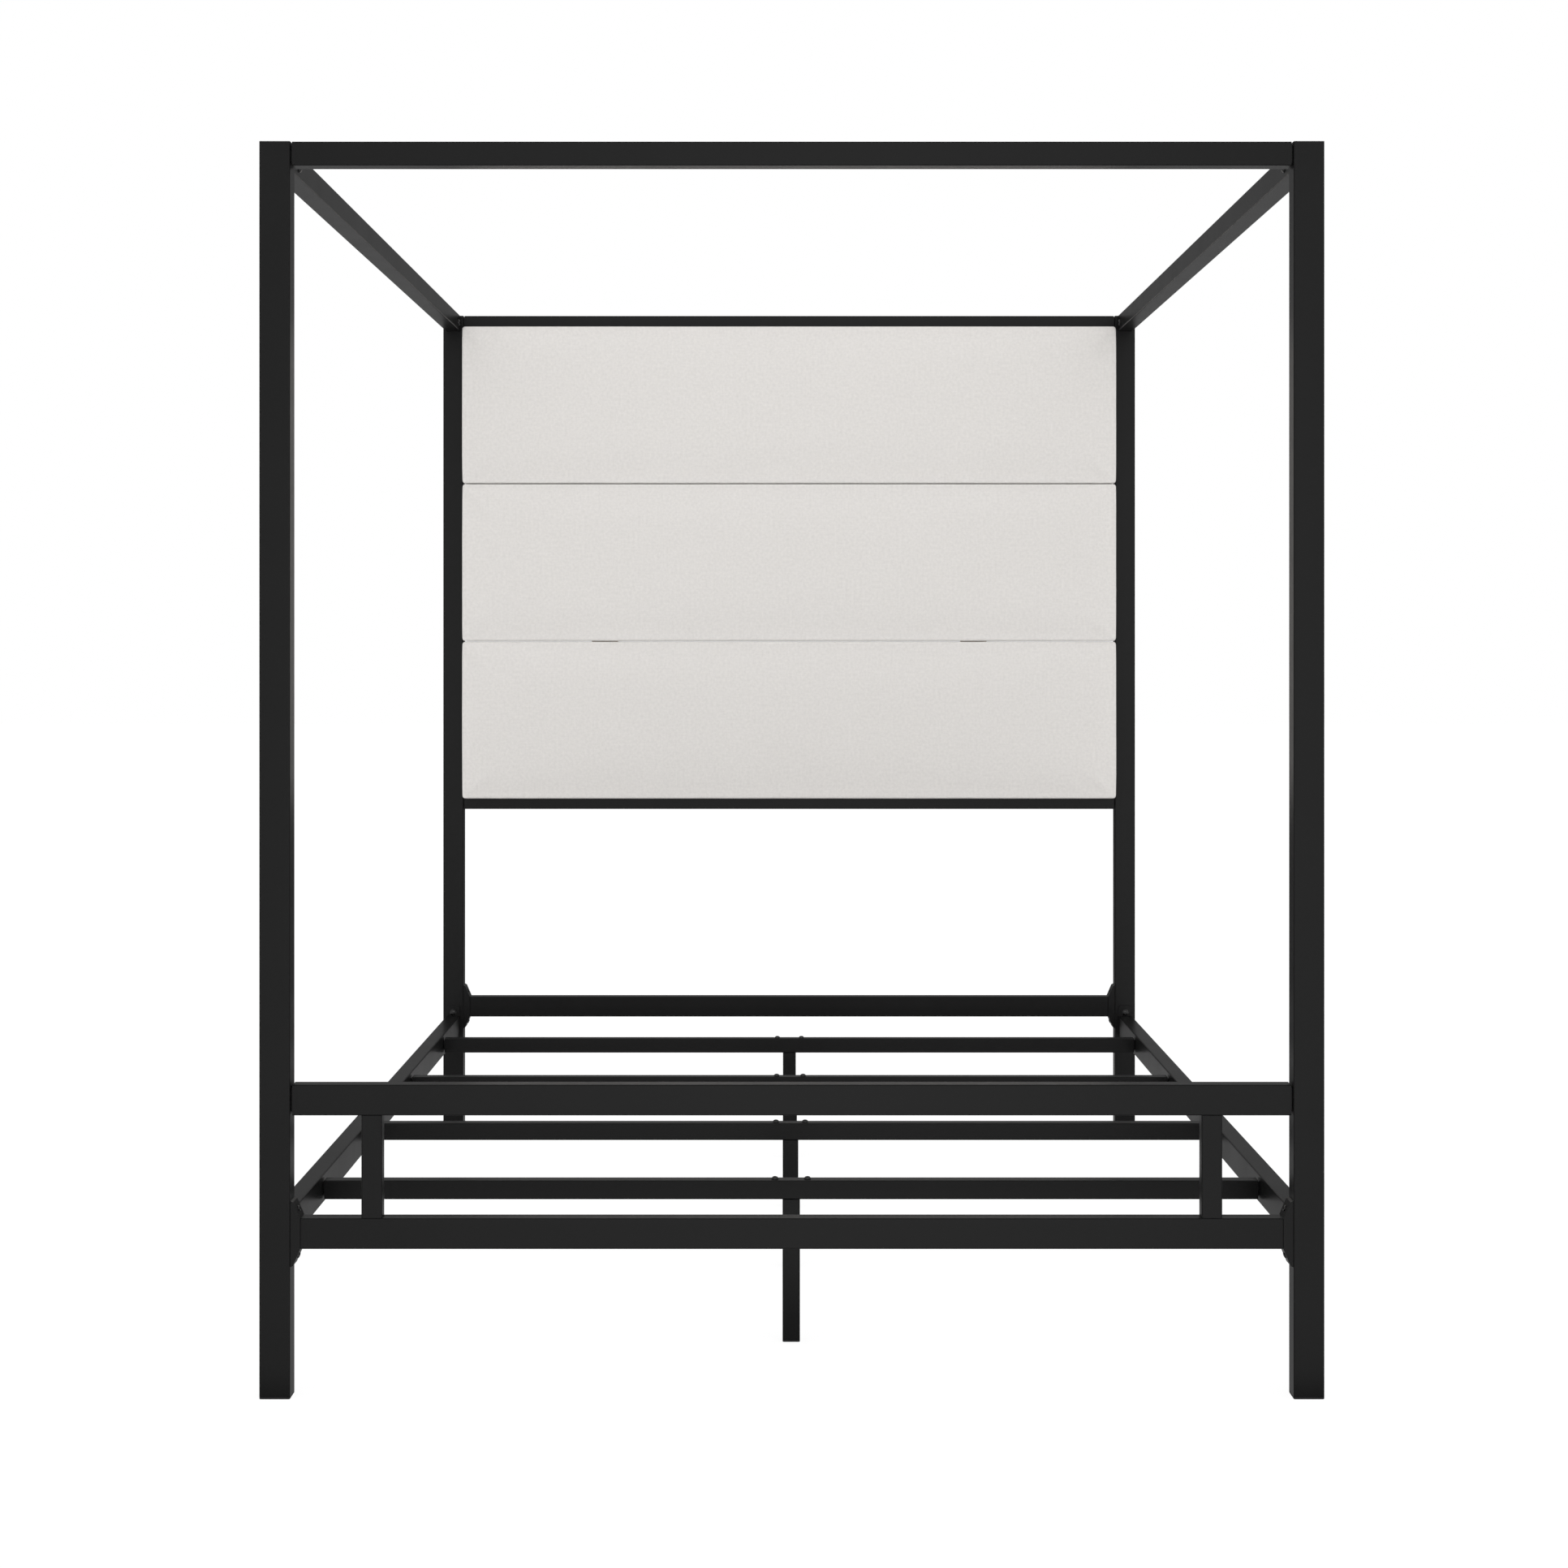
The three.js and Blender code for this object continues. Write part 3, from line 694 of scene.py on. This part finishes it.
def pad_blank(name, shape):
    """The pad's cover before the foam fills it: a gridded face, sides, and the stapled fold."""
    s = shape.settings
    inset = s.edge_radius
    xs = graded(shape.half_x - inset, s.grid_step)
    zs = graded(shape.half_z - inset, s.grid_step)
    start = shape.face + s.face_set_back
    bm = bmesh.new()
    cloth = bm.verts.layers.float_vector.new("cloth")

    def point(x, y, z, along_x, along_z):
        vertex = bm.verts.new((shape.middle.x + x, y, shape.middle.z + z))
        vertex[cloth] = (shape.middle.x + along_x, shape.middle.z + along_z, 0)
        return vertex

    face = [[point(x, start, z, x, z) for z in zs] for x in xs]
    last_x, last_z = len(xs) - 1, len(zs) - 1
    for i in range(last_x):
        for j in range(last_z):
            bm.faces.new((face[i][j], face[i + 1][j], face[i + 1][j + 1], face[i][j + 1]))
    outline = [(i, 0) for i in range(last_x)] + [(last_x, j) for j in range(last_z)]
    outline += [(i, last_z) for i in range(last_x, 0, -1)] + [(0, j) for j in range(last_z, 0, -1)]
    ring = [face[i][j] for i, j in outline]
    before = (inset, start)
    run = 0.0
    for ring_inset, depth, radius in shape.rings():
        run += math.hypot(ring_inset - before[0], depth - before[1])
        before = (ring_inset, depth)
        half_x, half_z = shape.half_x - ring_inset, shape.half_z - ring_inset
        grow_x, grow_z = half_x / xs[-1], half_z / zs[-1]
        outer = []
        for i, j in outline:
            x, z = softened(xs[i] * grow_x, zs[j] * grow_z, half_x, half_z, radius)
            out_x = (i == last_x) - (i == 0)
            out_z = (j == last_z) - (j == 0)
            outer.append(point(x, depth, z, xs[i] + out_x * run, zs[j] + out_z * run))
        for k, vertex in enumerate(outer):
            after = (k + 1) % len(outer)
            bm.faces.new((ring[after], ring[k], vertex, outer[after]))
        ring = outer
    close_pocket(bm, ring, last_x, last_z)
    bmesh.ops.recalc_face_normals(bm, faces=bm.faces)
    mesh = bpy.data.meshes.new(name)
    bm.to_mesh(mesh)
    bm.free()
    return mesh


def close_pocket(bm, ring, last_x, last_z):
    """Closes the last ring with strips from its lower edge to its upper edge."""
    lower = ring[:last_x + 1]
    right = ring[last_x:last_x + last_z + 1]
    upper = ring[last_x + last_z:2 * last_x + last_z + 1][::-1]
    left = ring[2 * last_x + last_z:] + ring[:1]
    bm.faces.new((*left, lower[1], upper[1]))
    for k in range(1, last_x - 1):
        bm.faces.new((lower[k], lower[k + 1], upper[k + 1], upper[k]))
    bm.faces.new((*right, upper[-2], lower[-2]))


def foam_filled(blank, shape):
    """How each point of the cover moves in a cloth simulation, with the foam pressing on it."""
    scene = bpy.context.scene
    pad = bpy.data.objects.new("pad_simulation", blank.copy())
    scene.collection.objects.link(pad)
    stapled = pad.vertex_groups.new(name="stapled")
    held = [v.index for v in pad.data.vertices if v.co.y > shape.held]
    stapled.add(held, 1.0, "REPLACE")
    modifier = pad.modifiers.new("Cover", "CLOTH")
    cloth = {
        "quality": 5, "mass": 0.3, "tension_stiffness": 60, "compression_stiffness": 60,
        "shear_stiffness": 20, "bending_stiffness": 3, "vertex_group_mass": "stapled",
        "use_pressure": True, "uniform_pressure_force": shape.settings.pressure}
    for name, value in cloth.items():
        setattr(modifier.settings, name, value)
    modifier.settings.effector_weights.gravity = 0
    modifier.collision_settings.use_collision = False
    modifier.point_cache.frame_start = 1
    modifier.point_cache.frame_end = LAST_FRAME
    for number in range(1, LAST_FRAME + 1):
        scene.frame_set(number)
    evaluated = pad.evaluated_get(bpy.context.evaluated_depsgraph_get())
    after = evaluated.to_mesh().vertices
    moves = [new.co - old.co for new, old in zip(after, blank.vertices)]
    evaluated.to_mesh_clear()
    pad.modifiers.remove(modifier)
    bpy.data.objects.remove(pad)
    scene.frame_set(1)
    return moves


def mirrored(blank, shape, moves, turn):
    """The same moves on a pad turned over, so that the pads aren't all alike."""
    tree = KDTree(len(moves))
    for vertex in blank.vertices:
        tree.insert(vertex.co - shape.middle, vertex.index)
    tree.balance()
    turn = Vector(turn)
    found = [moves[tree.find((vertex.co - shape.middle) * turn)[1]] for vertex in blank.vertices]
    return [move * turn for move in found]


def eased(value, cap):
    """The value, held back smoothly as it nears the cap."""
    return cap * math.tanh(value / cap)


def settle(blank, moves, shape, seed):
    """Moves the cover as simulated, within the caps and clear of its neighbours."""
    s = shape.settings
    touch_x = shape.half_x + 1.0 * MM
    touch_z = shape.half_z + 0.25 * MM
    start, side_reach = Vector((seed, 0, 0)), 14 * MM
    for vertex, move in zip(blank.vertices, moves):
        free = shape.freedom(vertex.co.y)
        move = move / MOVE_SHARE
        uneven = noise.noise(vertex.co * 5.0 + start) * 0.9 * MM
        uneven += noise.noise(vertex.co * 22.0 + start) * 0.35 * MM
        in_out = eased(move.y, s.most_swell if move.y < 0 else s.most_sink) + uneven * free
        side = Vector((eased(move.x, s.most_pull), 0, eased(move.z, s.most_pull)))
        place = vertex.co - shape.middle + side
        near_side = max(0.0, 1 - (shape.half_x - abs(place.x)) / side_reach)
        bulge = s.side_bulge * near_side * free * (1 - (abs(place.z) / shape.half_z) ** 6)
        place.x += math.copysign(bulge, place.x)
        x = max(-touch_x, min(touch_x, place.x + uneven * 0.5 * free))
        z = max(-touch_z, min(touch_z, place.z + uneven * 0.2 * free))
        vertex.co = (shape.middle.x + x, vertex.co.y + in_out, shape.middle.z + z)


def make_pads(material):
    settings = bpy.context.scene.bed_padding
    turns = {"bottom": (1, 1, 1), "middle": (-1, 1, 1), "top": (1, 1, -1)}
    moves = None
    for seed, name in enumerate(PANEL_NAMES):
        shape = PadShape(name, settings)
        blank = pad_blank(f"pad_{name}", shape)
        if moves is None:
            moves = foam_filled(blank, shape)
        settle(blank, mirrored(blank, shape, moves, turns[name]), shape, seed * SEED_STEP)
        node = f"headboard_panel_{name}"
        pad = new_piece(f"headboard_pad_{name}", blank, material, [node])
        blank.shade_smooth()
        rounding = pad.modifiers.new("Rounding", "SUBSURF")
        rounding.levels = rounding.render_levels = 1


# ---- Operators -----------------------------------------------------------------------------------
class BED_OT_finishes(bpy.types.Operator):
    """Give each tube, bracket, foot and board its finish"""

    bl_idname = "bed.finishes"
    bl_label = "Finish the frame"

    def execute(self, context):
        coat, bolt, plastic = powder_coat(), black_bolt(), foot_plastic()
        cover, zinc = linen(), zinc_steel()
        boards, battens = wood("Plywood boards", 0), wood("Plywood battens", 2)
        by_prefix = (
            ("slat_bolt", bolt), ("post_bolt", bolt), ("post_foot", plastic),
            ("leg_foot", plastic), ("leg_bar", zinc), ("headboard_board", boards),
            ("headboard_batten", battens), ("headboard_panel", cover))
        for name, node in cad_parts.items():
            found = [material for prefix, material in by_prefix if name.startswith(prefix)]
            material = found[0] if found else coat
            for slot in node.material_slots:
                slot.material = material
        return {"FINISHED"}


class BED_OT_pads(bpy.types.Operator):
    """Upholster the three headboard pads"""

    bl_idname = "bed.pads"
    bl_label = "Headboard pads"

    def execute(self, context):
        make_pads(bpy.data.materials["Linen"])
        return {"FINISHED"}


class BED_OT_slat_bolts(bpy.types.Operator):
    """Set the two bolts on top of each slat"""

    bl_idname = "bed.slat_bolts"
    bl_label = "Slat bolts"

    def execute(self, context):
        names = [f"slat_bolt_{slat}_{side}" for slat in SLAT_NAMES for side in ("left", "right")]
        anchors = []
        for name in names:
            top = high("slat_" + name.split("_")[2]).z
            place = middle(name)
            anchors.append((Vector((place.x, place.y, top)), (0, 0, 1)))
        lo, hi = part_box(names[0])
        head = hi.x - lo.x
        rise = hi.z - anchors[0][0].z - FLANGE
        button_heads("slat_bolts", anchors, head, rise, bpy.data.materials["Black oxide"],
                     replaced=names)
        return {"FINISHED"}


class BED_OT_post_bolts(bpy.types.Operator):
    """Set the bolt in the outer face of each front post"""

    bl_idname = "bed.post_bolts"
    bl_label = "Post bolts"

    def execute(self, context):
        names = ["post_bolt_left", "post_bolt_right"]
        anchors = []
        for name, side in zip(names, SIDES):
            face = side * high("post_front_right").x
            place = middle(name)
            anchors.append((Vector((face, place.y, place.z)), (side, 0, 0)))
        lo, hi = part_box(names[1])
        rise = hi.x - high("post_front_right").x - FLANGE
        button_heads("post_bolts", anchors, hi.z - lo.z, rise, bpy.data.materials["Black oxide"],
                     replaced=names)
        return {"FINISHED"}


class BED_OT_frame_bolts(bpy.types.Operator):
    """Set the bolts of the canopy, the side rails and the corner brackets"""

    bl_idname = "bed.frame_bolts"
    bl_label = "Frame bolts"

    def execute(self, context):
        material = bpy.data.materials["Black oxide"]
        settings = context.scene.bed_fasteners
        head = settings.frame_bolt
        button_heads("canopy_bolts", self.canopy(), head, 3.4 * MM, material)
        button_heads("side_rail_bolts", self.side_rails(), head, 3.6 * MM, material)
        button_heads("bracket_bolts", self.brackets(), settings.bracket_bolt, 1.3 * MM, material)
        return {"FINISHED"}

    def canopy(self):
        """One near each end of each canopy rail: on the inner faces of the side and foot rails, and
        on the head rail's back face, which the headboard leaves free."""
        from_post, from_rear_post = 70 * MM, 39 * MM
        anchors = []
        for side, name in zip(SIDES, ("left", "right")):
            lo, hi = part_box(f"canopy_rail_{name}")
            inner = lo.x if side > 0 else hi.x
            for y in (lo.y + from_post, hi.y - from_rear_post):
                place = Vector((inner, y, (lo.z + hi.z) / 2 - CANOPY_BOLT_DROP))
                anchors.append((place, (-side, 0, 0)))
        for name in ("canopy_rail_foot", "canopy_rail_head"):
            lo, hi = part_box(name)
            for x in (lo.x + from_post, hi.x - from_post):
                place = Vector((x, hi.y, (lo.z + hi.z) / 2 - CANOPY_BOLT_DROP))
                anchors.append((place, (0, 1, 0)))
        return anchors

    def side_rails(self):
        """Two through each welded end plate, above and below the tube."""
        plate, offset = 3 * MM, 31.2 * MM
        anchors = []
        for name in ("side_rail_left", "side_rail_right"):
            lo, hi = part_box(name)
            centre = (lo + hi) / 2
            for y, way in ((lo.y + plate, 1), (hi.y - plate, -1)):
                for z in (centre.z - offset, centre.z + offset):
                    anchors.append((Vector((centre.x, y, z)), (0, way, 0)))
        return anchors

    def brackets(self):
        """One in the middle of each slanting flap."""
        lip, rail_half = Vector((4 * MM, 48.2 * MM)), 23.35 * MM
        anchors = []
        for name in CORNER_NAMES:
            lo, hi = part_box(f"corner_bracket_{name}")
            side = 1 if "right" in name else -1
            at_post = hi.x if side > 0 else lo.x
            reach = Vector((hi.x - lo.x, rail_half))
            centre, slope = (lip + reach) / 2, (reach - lip).normalized()
            for up in SIDES:
                place = Vector((at_post - side * centre.x, (lo.y + hi.y) / 2,
                                (lo.z + hi.z) / 2 + up * centre.y))
                anchors.append((place, (side * slope.y, 0, up * slope.x)))
        return anchors


class BED_OT_headboard_fixings(bpy.types.Operator):
    """Fix the pads' covers, boards and battens from behind"""

    bl_idname = "bed.headboard_fixings"
    bl_label = "Headboard fixings"

    def execute(self, context):
        zinc = bpy.data.materials["Zinc plate"]
        settings = context.scene.bed_fasteners
        self.staples(context.scene.bed_padding.fold_width, settings, zinc)
        self.screws(settings, zinc)
        return {"FINISHED"}

    def staples(self, fold, settings, zinc):
        """A loop of staples along the folded strip behind each pad."""
        verts, edges = [], []
        for name in PANEL_NAMES:
            lo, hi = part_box(f"headboard_panel_{name}")
            inset, y = fold * 0.6, hi.y + FOLD_DEPTH
            first = len(verts)
            for x, z in ((lo.x, lo.z), (hi.x, lo.z), (hi.x, hi.z), (lo.x, hi.z)):
                verts.append((x - math.copysign(inset, x), y, z + (inset if z == lo.z else -inset)))
            edges += [(first + k, first + (k + 1) % 4) for k in range(4)]
        base = bpy.data.meshes.new("staple_paths")
        base.from_pydata(verts, edges, [])
        sizes = {"Pitch": settings.staple_pitch, "Crown": 9.5 * MM, "Wire": 0.7 * MM,
                 "Uneven": math.radians(7), "Seed": settings.staple_seed}
        mesh = grown(staple_recipe(), base, sizes, zinc)
        new_piece("headboard_staples", mesh, zinc)

    def screws(self, settings, zinc):
        """Two pairs of screws through each batten into each board."""
        from_edge, half_gap = 70 * MM, 15 * MM
        anchors = []
        for batten in ("headboard_batten_left", "headboard_batten_right"):
            face = high(batten).y
            centre = middle(batten).x
            for name in PANEL_NAMES:
                lo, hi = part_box(f"headboard_board_{name}")
                for z in (lo.z + from_edge, hi.z - from_edge):
                    for x in (centre - half_gap, centre + half_gap):
                        anchors.append((Vector((x, face, z)), (0, 1, 0)))
        button_heads("headboard_screws", anchors, settings.wood_screw, 2.2 * MM, zinc,
                     flange=1.3)


class BED_OT_studio(bpy.types.Operator):
    """Set up the camera, the floor and the light"""

    bl_idname = "bed.studio"
    bl_label = "Studio"

    def execute(self, context):
        settings = context.scene.bed_studio
        self.camera(context, settings)
        self.floor(context)
        self.shade_card(context)
        self.light(context, settings)
        context.scene.view_settings.view_transform = "Standard"
        return {"FINISHED"}

    def camera(self, context, settings):
        data = bpy.data.cameras.new("Camera")
        data.sensor_width = 36
        data.lens = settings.lens
        data.shift_x, data.shift_y = -0.0001, settings.shift
        camera = bpy.data.objects.new("Camera", data)
        camera.location = (settings.offset, cad_box[0].y - settings.distance, settings.height)
        camera.rotation_euler = (math.radians(90), 0, 0)
        context.scene.collection.objects.link(camera)
        context.scene.camera = camera

    def floor(self, context):
        """A wide pale floor that the feet stand on."""
        half = 30.0
        mesh = bpy.data.meshes.new("floor")
        corners = [(-half, -half, 0), (half, -half, 0), (half, half, 0), (-half, half, 0)]
        mesh.from_pydata(corners, [], [(0, 1, 2, 3)])
        f = Finish("Floor")
        f.surface(Base_Color=(0.14, 0.14, 0.14, 1), Roughness=1.0, Specular_IOR_Level=0.0,
                  Emission_Color=(1, 1, 1, 1), Emission_Strength=0.92)
        mesh.materials.append(f.material)
        floor = bpy.data.objects.new("floor", mesh)
        context.scene.collection.objects.link(floor)
        floor.visible_glossy = floor.visible_diffuse = False

    def shade_card(self, context):
        """A dark card under the floor that only reflections and bounced light find, so that the
        tubes near the floor stay dark."""
        lo, hi = cad_box
        side, front, depth = 0.10, 0.12, -2 * MM
        mesh = bpy.data.meshes.new("shade_card")
        mesh.from_pydata([
            (lo.x - side, lo.y - front, depth), (hi.x + side, lo.y - front, depth),
            (hi.x + side, hi.y + front, depth), (lo.x - side, hi.y + front, depth)],
            [], [(0, 1, 2, 3)])
        f = Finish("Shade card")
        f.surface(Base_Color=(0, 0, 0, 1), Specular_IOR_Level=0.0, Emission_Color=(1, 1, 1, 1),
                  Emission_Strength=0.48)
        mesh.materials.append(f.material)
        card = bpy.data.objects.new("shade_card", mesh)
        context.scene.collection.objects.link(card)
        card.visible_camera = False
        card.visible_shadow = False

    def light(self, context, settings):
        """A pale room with a darker far wall, a broad soft light behind the camera, and soft boxes
        overhead and at the sides. The camera itself sees plain white."""
        world = bpy.data.worlds.new("Studio")
        world.use_nodes = True
        w = Nodes(world.node_tree)
        x, y, z = w.split(w.add("ShaderNodeTexCoord", output="Generated"))
        spread_x, spread_z, aim_x, aim_z = 0.15, 0.30, 0.03, 0.0
        foot_height, overhead, sideways, box_foot = -0.15, 0.4, 0.6, -0.1
        off_x, off_z = (x - aim_x) / spread_x, (z - aim_z) / spread_z
        glow = w.function("EXPONENT", -(off_x * off_x + off_z * off_z)) * (y < 0)
        near = settings.room_light + (z < 0) * (settings.floor_light - settings.room_light)
        far = settings.far_wall + (z < 0) * (settings.far_foot - settings.far_wall)
        far = far + (z < foot_height) * (settings.far_floor - settings.far_foot)
        boxes = w.function("MAXIMUM", z > overhead, abs(x) > sideways) * (z > box_foot)
        light = near + (y > 0) * (far - near) + glow * settings.front_light
        light = light + boxes * settings.soft_boxes
        seen = w.add("ShaderNodeLightPath", output="Is Camera Ray")
        strength = light + (1 - light) * seen
        background = w.add("ShaderNodeBackground", None, {
            "Color": (1, 1, 1, 1), "Strength": strength})
        w.add("ShaderNodeOutputWorld", None, {"Surface": background})
        world.cycles.sampling_method = "NONE"
        context.scene.world = world


class BED_PT_panel(bpy.types.Panel):
    """Lists the steps that dress the bed"""

    bl_label = "Canopy Bed"
    bl_idname = "BED_PT_panel"
    bl_space_type = "VIEW_3D"
    bl_region_type = "UI"
    bl_category = "Canopy Bed"

    def draw(self, context):
        for operator in OPERATORS:
            self.layout.operator(operator.bl_idname)
        for group in SETTINGS:
            box = self.layout.box()
            for name in SETTINGS[group].__annotations__:
                box.prop(getattr(context.scene, group), name)


SETTINGS = {
    "bed_finish": BedFinishSettings,
    "bed_padding": BedPaddingSettings,
    "bed_fasteners": BedFastenerSettings,
    "bed_studio": BedStudioSettings,
}
OPERATORS = (
    BED_OT_finishes, BED_OT_pads, BED_OT_slat_bolts, BED_OT_post_bolts, BED_OT_frame_bolts,
    BED_OT_headboard_fixings, BED_OT_studio)


def register():
    for group in (*SETTINGS.values(), *OPERATORS, BED_PT_panel):
        bpy.utils.register_class(group)
    for name, group in SETTINGS.items():
        setattr(bpy.types.Scene, name, PointerProperty(type=group))


def unregister():
    for name in SETTINGS:
        delattr(bpy.types.Scene, name)
    for group in reversed((*SETTINGS.values(), *OPERATORS, BED_PT_panel)):
        bpy.utils.unregister_class(group)


def main():
    register()
    bpy.ops.bed.finishes()
    bpy.ops.bed.pads()
    bpy.ops.bed.slat_bolts()
    bpy.ops.bed.post_bolts()
    bpy.ops.bed.frame_bolts()
    bpy.ops.bed.headboard_fixings()
    bpy.ops.bed.studio()


if __name__ == "__main__":
    main()
